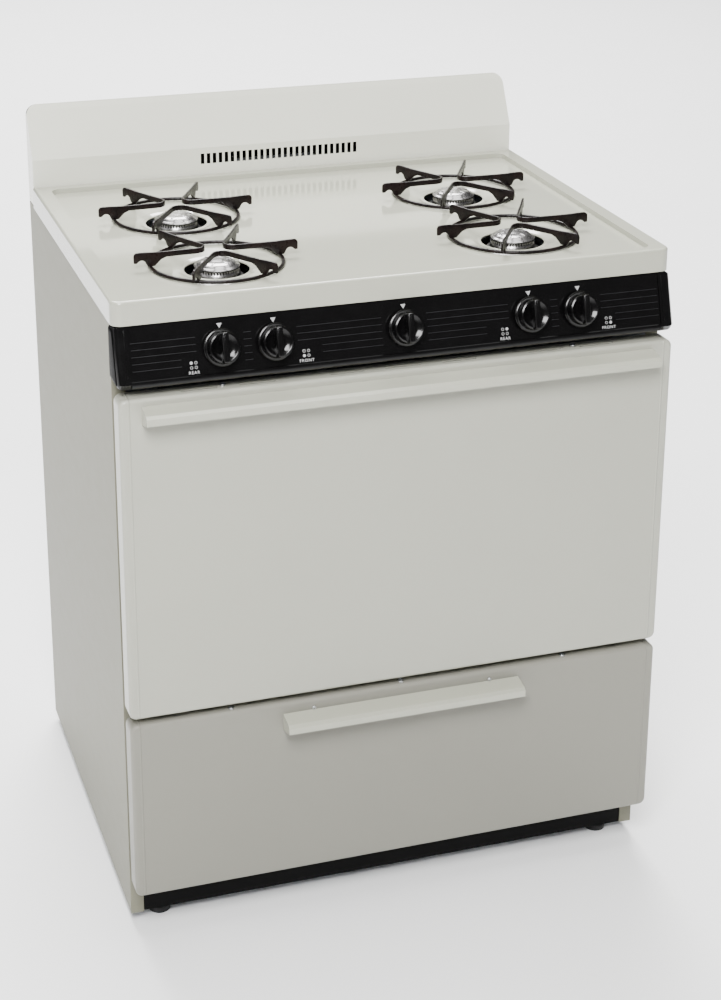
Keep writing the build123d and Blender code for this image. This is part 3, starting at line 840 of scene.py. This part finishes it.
@dataclass
class Controls:
    """The knobs, and the control panel with its print."""

    frame: dict[str, Any]
    palette: Palette
    names: tuple[str, ...] = ("rear_left", "front_left", "oven", "rear_right", "front_right")
    gap: float = 0.005
    knob_profile: tuple[Point, ...] = (
        (0.0, 0.0), (0.0220, 0.0), (0.0236, 0.0006), (0.0240, 0.0015), (0.0240, 0.0026),
        (0.0234, 0.0034), (0.0218, 0.0038), (0.0210, 0.0046), (0.0206, 0.0060),
        (0.0200, 0.0130), (0.0192, 0.0148), (0.0176, 0.0156), (0.0166, 0.0152),
        (0.0140, 0.0132), (0.0100, 0.0122), (0.0, 0.0118),
    )
    knob_steps: int = 72
    grip: Spot = (0.0130, 0.0385, 0.0145)
    grip_foot: float = 0.0100
    grip_bevel: float = 0.0022
    grip_taper: float = 0.62
    mark: Spot = (0.0012, 0.0330, 0.0008)
    mark_foot: float = 0.0244
    mark_bevel: float = 0.0002
    face_half: float = 0.361
    face_top: float = 0.0222
    face_foot: tuple[Point, ...] = (
        (0.0424, 0.0105), (0.0440, 0.0100), (0.0449, 0.0075), (0.0446, 0.0035), (0.0425, 0.0010),
    )
    cap_top: float = 0.0234
    cap_nose: Point = (0.0449, 0.0075)
    cap_round: float = 0.0085
    cap_segments: int = 6
    underside: float = 0.0390
    sideways: float = 0.8
    ridge: Spot = (0.0014, 0.0600, 0.0008)
    ridge_place: Spot = (0.3655, 0.0030, 0.0011)
    ridge_bevel: float = 0.0003
    print_depth: float = 0.00012
    stripe_heights: tuple[float, ...] = (0.0158, 0.0070, -0.0018, -0.0106, -0.0194)
    stripe_width: float = 0.0008
    upper_runs: tuple[Point, ...] = ((0.031, 0.144), (0.204, 0.214), (0.276, 0.3585))
    lower_runs: tuple[Point, ...] = ((0.031, 0.112), (0.204, 0.214), (0.296, 0.3585))
    foot_line: Point = (0.7170, 0.0007)
    foot_line_height: float = -0.0335
    arrow: float = 0.0040
    arrow_height: float = 0.0283
    sign_shifts: dict[str, float] = field(default_factory=lambda: {
        "rear_left": -0.037, "front_left": 0.040, "rear_right": -0.037, "front_right": 0.041,
    })
    sign_height: float = -0.0190
    sign_pitch: float = 0.0030
    dot_radius: float = 0.0019
    dot_line: float = 0.00045
    dot_steps: int = 20
    word_drop: float = 0.0110
    word_size: float = 0.0054
    word_spacing: float = 1.2

    def base(self, name: str) -> Matrix:
        """Placement of a control on the panel's face.

        Args:
            name: The control's name.

        Returns:
            The placement, with local Z outwards and local Y up the face.
        """
        joints = self.frame["record"]["behaviour"]["joints"]
        joint = next(j for j in joints if j["name"] == f"{name}_turn")
        return plane_matrix(joint["pos_m"], joint["axis"])

    def knob(self, name: str) -> None:
        """Build one knob with a ringed skirt, a domed body and a bar grip.

        Args:
            name: The control's name.
        """
        place = self.base(name) @ Matrix.Translation((0, 0, self.gap))
        grip = place @ Matrix.Translation((0, 0, self.grip_foot))
        mark = place @ Matrix.Translation((0, 0, self.mark_foot))
        solid = Solid().spun(self.knob_profile, self.knob_steps, place)
        solid.block(self.grip, grip, self.grip_bevel, self.grip_taper)
        solid.block(self.mark, mark, self.mark_bevel)
        black = self.palette.plain(Slot.BLACK_PLASTIC)
        made = solid.piece(f"{name}_knob_shape", f"{name}_knob", Slot.BLACK_PLASTIC, black)
        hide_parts(f"{name}_knob")

    def strip(self, outline: Sequence[Point], left: float, right: float) -> bmesh.types.BMesh:
        """Run an outline along the range's X axis.

        Args:
            outline: Y and height of each corner.
            left: X of one end.
            right: X of the other end.

        Returns:
            The closed strip.
        """
        part = bmesh.new()
        face = part.faces.new([part.verts.new((left, y, z)) for y, z in outline])
        extruded(part, face, (right - left, 0, 0))
        return part

    def cap(self, outline: Sequence[Point], left: float, right: float) -> bmesh.types.BMesh:
        """Run an outline between two ends and round the end that is further out.

        Args:
            outline: Y and height of each corner.
            left: X of one end.
            right: X of the other end.

        Returns:
            The closed cap.
        """
        part = self.strip(outline, left, right)
        far = max(abs(left), abs(right))
        back = max(y for y, _ in outline)
        ends = [
            e for e in part.edges
            if all(abs(abs(v.co.x) - far) < NEAR for v in e.verts)
            and any(v.co.y < back - NEAR for v in e.verts)
        ]
        bmesh.ops.bevel(
            part, geom=ends, offset=self.cap_round, offset_type="OFFSET", affect="EDGES",
            segments=self.cap_segments, profile=0.5, material=-1, clamp_overlap=False,
        )
        return part

    def shell(self) -> None:
        """Build the panel: a recessed face between two raised, rounded end caps."""
        low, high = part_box("control_panel")
        tall = high.z - low.z

        def outline(*points: Point) -> list[Point]:
            """Y and height of points given by their depth and height on the panel."""
            ends = ((0.0, tall), *points, (self.underside, 0.0), (0.0, 0.0))
            return [(high.y - depth, low.z + height) for depth, height in ends]

        face = outline((self.face_top, tall), *self.face_foot)
        cap = outline((self.cap_top, tall), self.cap_nose)
        solid = Solid()
        solid.merged(self.strip(face, -self.face_half, self.face_half), Matrix.Identity(4))
        for left, right in ((low.x, -self.face_half), (self.face_half, high.x)):
            solid.merged(self.cap(cap, left, right), Matrix.Identity(4))
        across, up, out = self.ridge_place
        for x in (-across, across):
            place = self.base("oven") @ Matrix.Translation((x, up, out))
            solid.block(self.ridge, place, self.ridge_bevel)
        for side in solid.mesh.faces:
            side.normal_update()
            side.material_index = int(abs(side.normal.x) > self.sideways)
        black = self.palette.plain(Slot.BLACK_PLASTIC)
        end = self.palette.of(END_FINISH)
        made = solid.piece("control_panel_shell", "body", Slot.BLACK_PLASTIC, black, end)
        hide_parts("control_panel")

    def stripes(self) -> None:
        """Print the fine grey stripes across the face, broken at the controls."""
        solid = Solid()
        face = self.base("oven")
        for index, height in enumerate(self.stripe_heights):
            runs = self.lower_runs if index > 2 else self.upper_runs
            for near, far in (*((-b, -a) for a, b in runs), *runs):
                spot = face @ Matrix.Translation(((near + far) / 2, height, 0))
                solid.block((far - near, self.stripe_width, self.print_depth), spot)
        spot = face @ Matrix.Translation((0, self.foot_line_height, 0))
        solid.block((*self.foot_line, self.print_depth), spot)
        grey = self.palette.of(STRIPE_FINISH)
        solid.piece("panel_stripes", "body", Slot.BLACK_PLASTIC, grey)

    def dot(self, solid: Solid, place: Matrix, filled: bool) -> None:
        """Print one circle of a burner sign.

        Args:
            solid: The print that it joins.
            place: Its centre.
            filled: Whether it is a disc rather than a ring.
        """
        r, depth = self.dot_radius, self.print_depth
        inner = 0.0 if filled else r - self.dot_line
        outline = [(inner, 0.0), (r, 0.0), (r, depth), (inner, depth)]
        if not filled:
            outline.append(outline[0])
        solid.spun(outline, self.dot_steps, place)

    def word(self, solid: Solid, text: str, place: Matrix) -> None:
        """Print a generic word.

        Args:
            solid: The print that it joins.
            text: The word.
            place: The middle of the word's foot.
        """
        curve = bpy.data.curves.new(text, "FONT")
        curve.body = text
        curve.size = self.word_size
        curve.extrude = self.print_depth
        curve.align_x = "CENTER"
        curve.space_character = self.word_spacing
        writing = bpy.data.objects.new(text, curve)
        data = bpy.data.meshes.new_from_object(writing)
        part = bmesh.new()
        part.from_mesh(data)
        solid.merged(part, place)
        bpy.data.objects.remove(writing)
        bpy.data.meshes.remove(data)

    def sign(self, solid: Solid, name: str, place: Matrix) -> None:
        """Print a burner sign: four circles, one filled, and the row's word.

        Args:
            solid: The print that it joins.
            name: The burner's name.
            place: The sign's centre.
        """
        row, side = name.split("_")
        pitch = self.sign_pitch
        for column, x in (("left", -pitch), ("right", pitch)):
            for line, y in (("rear", pitch), ("front", -pitch)):
                spot = place @ Matrix.Translation((x, y, 0))
                self.dot(solid, spot, (line, column) == (row, side))
        self.word(solid, row.upper(), place @ Matrix.Translation((0, -self.word_drop, 0)))

    def legends(self) -> None:
        """Print the pointers, and the burner signs beside the burners' knobs."""
        solid = Solid()
        size, depth = self.arrow, self.print_depth
        arrow = [(0.0, 0.0), (size, 0.0), (size, depth), (0.0, depth)]
        pointing = Matrix.Translation((0, self.arrow_height, 0))
        pointing @= Matrix.Rotation(-math.pi / 2, 4, "Z")
        for name in self.names:
            face = self.base(name)
            solid.spun(arrow, 3, face @ pointing)
            if name in self.sign_shifts:
                spot = (self.sign_shifts[name], self.sign_height, 0)
                self.sign(solid, name, face @ Matrix.Translation(spot))
        solid.piece("panel_legends", "body", Slot.BISQUE, self.palette.of(LEGEND_FINISH))

    def build(self) -> None:
        """Build the panel and its knobs, and print the panel."""
        self.shell()
        for name in self.names:
            self.knob(name)
        self.stripes()
        self.legends()


@dataclass
class Grates:
    """The four grates: a wire ring with three bent blades that end in hooks."""

    palette: Palette
    ring: float = 0.088
    wire: float = 0.0025
    ring_steps: int = 96
    wire_steps: int = 16
    tip: float = 0.111
    corner: float = 0.0062
    bend: float = 0.013
    thickness: float = 0.0027
    edge: float = 0.0006
    edge_segments: int = 2
    cuts: int = 14
    turns: tuple[int, ...] = (30, 150, 270)
    half_outline: tuple[Point, ...] = (
        (0.0450, 0.0226), (0.0300, 0.0228), (0.0150, 0.0236), (0.0060, 0.0238), (0.0030, 0.0233),
        (0.0010, 0.0218), (0.0, 0.0195), (0.0, 0.0112), (0.0006, 0.0096), (0.0044, 0.0096),
        (0.0064, 0.0116), (0.0090, 0.0130), (0.0122, 0.0130), (0.0150, 0.0112), (0.0176, 0.0062),
        (0.0190, 0.0042), (0.0285, 0.0042), (0.0310, 0.0068), (0.0370, 0.0124), (0.0440, 0.0152),
    )

    def __post_init__(self) -> None:
        """Work the blade's path out from its corner and tips."""
        self.tip_spot = Vector((self.tip * math.cos(math.pi / 6), self.tip * 0.5))
        across = self.tip_spot - Vector((self.corner, 0.0))
        self.spread = math.atan2(across.y, across.x)
        self.leg = across.length - self.bend / math.tan(self.spread)
        self.arc = self.bend * (math.pi - 2 * self.spread)
        self.length = 2 * self.leg + self.arc

    def along(self, run: float, side: float) -> Vector:
        """Plan position on the bent blade.

        Args:
            run: Distance along the blade from its first tip.
            side: Distance off its middle plane.

        Returns:
            The position, with the blade's corner towards the local X axis.
        """
        mirrored = run > self.length / 2
        reach = self.length - run if mirrored else run
        sideways = -side if mirrored else side
        if reach <= self.leg:
            heading = Vector((-math.cos(self.spread), -math.sin(self.spread)))
            spot = self.tip_spot + heading * reach
            normal = Vector((heading.y, -heading.x))
        else:
            turned = math.pi / 2 - self.spread - (reach - self.leg) / self.bend
            normal = Vector((-math.cos(turned), math.sin(turned)))
            middle = Vector((self.corner + self.bend / math.sin(self.spread), 0.0))
            spot = middle + normal * self.bend
        spot = spot + normal * sideways
        return Vector((spot.x, -spot.y)) if mirrored else spot

    def blade(self, solid: Solid, place: Matrix) -> None:
        """Cut one blade flat, then bend it round its corner.

        Args:
            solid: The grate that it joins.
            place: The grate's centre, turned to the blade.
        """
        part = bmesh.new()
        other = [(self.length - u, z) for u, z in reversed(self.half_outline)]
        near = -self.thickness / 2
        outline = [part.verts.new((u, near, z)) for u, z in (*self.half_outline, *other)]
        extruded(part, part.faces.new(outline), (0, self.thickness, 0))
        rims = [e for e in part.edges if abs(e.verts[0].co.y - e.verts[1].co.y) < NEAR]
        bmesh.ops.bevel(
            part, geom=rims, offset=self.edge, offset_type="OFFSET", affect="EDGES",
            segments=self.edge_segments, profile=0.5, material=-1,
        )
        for step in range(self.cuts + 1):
            run = self.leg + self.arc * step / self.cuts
            bmesh.ops.bisect_plane(
                part, geom=part.verts[:] + part.edges[:] + part.faces[:], dist=WELD,
                plane_co=(run, 0, 0), plane_no=(1, 0, 0),
            )
        for vert in part.verts:
            vert.co.xy = self.along(vert.co.x, vert.co.y)
        bmesh.ops.recalc_face_normals(part, faces=part.faces)
        solid.merged(part, place)

    def build(self) -> None:
        """Build the four grates where their frame nodes lie."""
        angles = [math.tau * i / self.wire_steps for i in range(self.wire_steps + 1)]
        ring = [
            (self.ring + self.wire * math.cos(a), self.wire * (1 + math.sin(a))) for a in angles
        ]
        enamel = self.palette.plain(Slot.GRATE)
        for name in PLACES:
            node = f"{name}_grate"
            low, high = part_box(node)
            middle = (low + high) / 2
            centre = Matrix.Translation((middle.x, middle.y, low.z))
            solid = Solid().spun(ring, self.ring_steps, centre)
            for angle in self.turns:
                self.blade(solid, centre @ Matrix.Rotation(math.radians(angle), 4, "Z"))
            made = solid.piece(f"{name}_ring_and_blades", node, Slot.GRATE, enamel)
            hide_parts(node)


@dataclass
class Burners:
    """The four burner heads with their ports and stamped caps."""

    palette: Palette
    profile: tuple[Point, ...] = (
        (0.0, -0.0160), (0.0140, -0.0160), (0.0200, -0.0090), (0.0250, -0.0004), (0.0348, 0.0),
        (0.0360, 0.0008), (0.0360, 0.0020), (0.0348, 0.0028), (0.0330, 0.0032), (0.0313, 0.0042),
        (0.0305, 0.0100), (0.0299, 0.0108), (0.0295, 0.0144), (0.0303, 0.0152), (0.0305, 0.0166),
        (0.0295, 0.0178), (0.0271, 0.0186), (0.0259, 0.0196), (0.0245, 0.0212), (0.0210, 0.0228),
        (0.0125, 0.0240), (0.0110, 0.0236), (0.0095, 0.0237), (0.0060, 0.0243), (0.0, 0.0245),
    )
    steps: int = 96
    band: Point = (0.0105, 0.0150)
    band_radius: float = 0.0265
    port_rim: float = 0.00025
    port_depth: float = 0.0018
    ribs: int = 6
    rib: Spot = (0.0100, 0.0030, 0.0011)
    rib_place: Spot = (0.0175, 0.0, 0.0228)
    rib_tilt: float = 7.0
    rib_bevel: float = 0.0004
    rib_taper: float = 0.8

    def ports(self, solid: Solid) -> None:
        """Sink a row of ports into the head's wall and give their faces the painted shade.

        Args:
            solid: The head, still at the origin.
        """
        low, high = self.band
        wall = []
        for face in solid.mesh.faces:
            middle = face.calc_center_median()
            upright = abs(face.normal.z) < 0.5
            if upright and low < middle.z < high and middle.xy.length > self.band_radius:
                wall.append((math.atan2(middle.y, middle.x), face))
        chosen = [face for _, face in sorted(wall, key=lambda pair: pair[0])][::2]
        bmesh.ops.inset_individual(
            solid.mesh, faces=chosen, thickness=self.port_rim, depth=-self.port_depth
        )
        # The ports' faces take the second material: painted shade for the dark of the holes.
        for face in chosen:
            face.material_index = 1

    def one(self, name: str, place: Matrix) -> None:
        """Build one head.

        Args:
            name: The burner's name.
            place: The underside of its drip flange, on its axis.
        """
        solid = Solid().spun(self.profile, self.steps, Matrix.Identity(4))
        self.ports(solid)
        tilt = Matrix.Translation(self.rib_place)
        tilt @= Matrix.Rotation(math.radians(self.rib_tilt), 4, "Y")
        for rib in range(self.ribs):
            turn = Matrix.Rotation(math.tau * rib / self.ribs, 4, "Z")
            solid.block(self.rib, turn @ tilt, self.rib_bevel, self.rib_taper)
        bmesh.ops.transform(solid.mesh, matrix=place, verts=solid.mesh.verts)
        metal = self.palette.plain(Slot.BURNER)
        port_shade = self.palette.of(PORT_SHADE_FINISH)
        made = solid.piece(f"{name}_burner_cap_and_ports", "body", Slot.BURNER, metal, port_shade)
        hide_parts(f"{name}_burner_head")

    def build(self) -> None:
        """Build each head where its frame node lies."""
        height = self.profile[-1][1]
        for name in PLACES:
            low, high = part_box(f"{name}_burner_head")
            centre = (low + high) / 2
            self.one(name, Matrix.Translation((centre.x, centre.y, high.z - height)))


@dataclass
class Fasteners:
    """Small screws that hold the drawer pull and the rear panel."""

    palette: Palette
    profile: tuple[Point, ...] = (
        (0.0, -0.0005), (0.0040, -0.0005), (0.0040, 0.0006), (0.0032, 0.0016),
        (0.0016, 0.0020), (0.0, 0.0021),
    )
    steps: int = 24
    cross: Spot = (0.0042, 0.0008, 0.0005)
    cross_foot: float = 0.0019
    cross_bevel: float = 0.0001
    pull_spots: tuple[float, ...] = (-0.127, 0.127)
    pull_seat: Point = (-0.0008, 0.0024)
    pull_scale: float = 0.7
    rear_inset: float = 0.020
    rear_heights: tuple[float, ...] = (0.10, 0.30, 0.50, 0.70, 0.86)
    rear_row: tuple[float, ...] = (-0.18, 0.0, 0.18)
    rear_scale: Spot = (0.9, 0.9, 0.45)

    def screw(self, solid: Solid, place: Matrix) -> None:
        """Add one pan head with a cross on it.

        Args:
            solid: The group that it joins.
            place: The seat of the head, local Z outwards.
        """
        solid.spun(self.profile, self.steps, place)
        for angle in (0.0, math.pi / 2):
            turn = Matrix.Translation((0, 0, self.cross_foot)) @ Matrix.Rotation(angle, 4, "Z")
            solid.block(self.cross, place @ turn, self.cross_bevel)

    def drawer_pull(self) -> None:
        """Fix the drawer pull with two screws along its upper edge."""
        _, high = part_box("drawer_handle")
        back, up = self.pull_seat
        solid = Solid()
        for x in self.pull_spots:
            place = plane_matrix((x, high.y + back, high.z + up), (0, -1, 0))
            self.screw(solid, place @ Matrix.Scale(self.pull_scale, 4))
        plated = self.palette.plain(Slot.PLATED)
        solid.piece("drawer_pull_screws", "drawer", Slot.PLATED, plated)

    def rear(self) -> None:
        """Screw the rear panel on round its edge."""
        low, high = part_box("rear_panel")
        columns = (low.x + self.rear_inset, high.x - self.rear_inset)
        spots = [(x, z) for x in columns for z in self.rear_heights]
        spots += [(x, self.rear_heights[-1]) for x in self.rear_row]
        backwards = Matrix.Rotation(-math.pi / 2, 4, "X") @ Matrix.Diagonal((*self.rear_scale, 1.0))
        solid = Solid()
        for x, z in spots:
            self.screw(solid, Matrix.Translation((x, high.y, z)) @ backwards)
        plated = self.palette.plain(Slot.PLATED)
        solid.piece("rear_panel_screws", "body", Slot.PLATED, plated)

    def build(self) -> None:
        """Fit both groups."""
        self.drawer_pull()
        self.rear()


@dataclass
class Bodywork:
    """Finishes on the frame's own nodes."""

    frame: dict[str, Any]
    palette: Palette

    def build(self) -> None:
        """Dress every node."""
        slots = {s["node"]: Slot(s["material_slot"]) for s in self.frame["record"]["subparts"]}
        for node, shown in self.frame["nodes"].items():
            finish = NODE_FINISHES.get(node, FINISHES[slots[node]])
            shown.data.materials.clear()
            shown.data.materials.append(self.palette.of(finish))
        LOG.info("dressed %d nodes", len(slots))


# ---------------------------------------------------------------- studio


def stand(name: str, data: bpy.types.ID, place: Spot, towards: Vector) -> bpy.types.Object:
    """Set a light or the camera up.

    Args:
        name: The object's name.
        data: Its light or camera data.
        place: Where it stands.
        towards: The direction that it faces.

    Returns:
        The new object.
    """
    made = bpy.data.objects.new(name, data)
    made.location = place
    made.rotation_euler = towards.to_track_quat("-Z", "Y").to_euler()
    bpy.context.scene.collection.objects.link(made)
    return made


@dataclass(frozen=True)
class Lamp:
    """One square soft light, its target, its side in metres and its watts."""

    name: str
    place: Spot
    target: Spot
    size: float
    power: float

    def build(self) -> None:
        """Hang the light and turn it to its target."""
        data = bpy.data.lights.new(self.name, "AREA")
        data.shape = "SQUARE"
        data.size = self.size
        data.energy = self.power
        towards = Vector(self.target) - Vector(self.place)
        stand(self.name, data, self.place, towards)


@dataclass
class Studio:
    """Floor, lights, sky and camera."""

    position: Spot = (-0.8318, -2.5828, 1.7031)
    aim: Spot = (0.28657, 0.90012, -0.32812)
    focal: float = 72.39
    sensor: float = 36.0
    shift: Point = (0.0305, -0.180)
    sky_strength: float = 0.22
    floor_size: float = 40.0
    floor_low: Colour = (0.90, 0.90, 0.90)
    floor_high: Colour = (0.93, 0.93, 0.93)
    floor_roughness: float = 0.7
    lamps: tuple[Lamp, ...] = (
        Lamp("front_softbox", (-1.0, -2.3, 2.8), (0.0, 0.1, 0.95), 1.3, 230.0),
        Lamp("top_softbox", (0.2, 0.1, 3.4), (0.0, 0.0, 0.5), 2.6, 110.0),
        Lamp("left_fill", (-3.4, -0.6, 1.6), (0.0, 0.0, 0.5), 1.8, 15.0),
        Lamp("floor_light", (0.6, 5.5, 7.0), (0.6, 5.0, 0.0), 5.0, 2100.0),
    )

    def sky(self) -> None:
        """Plain white surroundings."""
        world = bpy.data.worlds.new("studio")
        world.use_nodes = True
        ground = world.node_tree.nodes["Background"]
        ground.inputs["Color"].default_value = (1.0, 1.0, 1.0, 1.0)
        ground.inputs["Strength"].default_value = self.sky_strength
        bpy.context.scene.world = world

    def floor(self) -> None:
        """Plain pale floor."""
        mesh = bmesh.new()
        bmesh.ops.create_grid(mesh, x_segments=1, y_segments=1, size=self.floor_size)
        data = bpy.data.meshes.new("floor")
        mesh.to_mesh(data)
        mesh.free()
        shader = Shader("pale_floor")
        tone = shader.mixed(shader.noise(3.0, 2.0), self.floor_low, self.floor_high)
        shader.set(Base_Color=tone, Roughness=self.floor_roughness)
        data.materials.append(shader.material)
        made = bpy.data.objects.new("floor", data)
        bpy.context.scene.collection.objects.link(made)

    def camera(self) -> None:
        """Eye above the front left, with a small downward shift of the view."""
        data = bpy.data.cameras.new("camera")
        data.lens = self.focal
        data.sensor_width = self.sensor
        data.shift_x, data.shift_y = self.shift
        bpy.context.scene.camera = stand("camera", data, self.position, Vector(self.aim))

    def build(self) -> None:
        """Set the studio up."""
        self.floor()
        self.sky()
        for lamp in self.lamps:
            lamp.build()
        self.camera()


def main() -> None:
    """Build the range on its frame."""
    logging.basicConfig(level=logging.INFO, format="%(name)s %(message)s")
    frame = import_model()
    palette = Palette()
    Bodywork(frame, palette).build()
    Controls(frame, palette).build()
    Grates(palette).build()
    Burners(palette).build()
    Fasteners(palette).build()
    Studio().build()


if __name__ == "__main__":
    main()
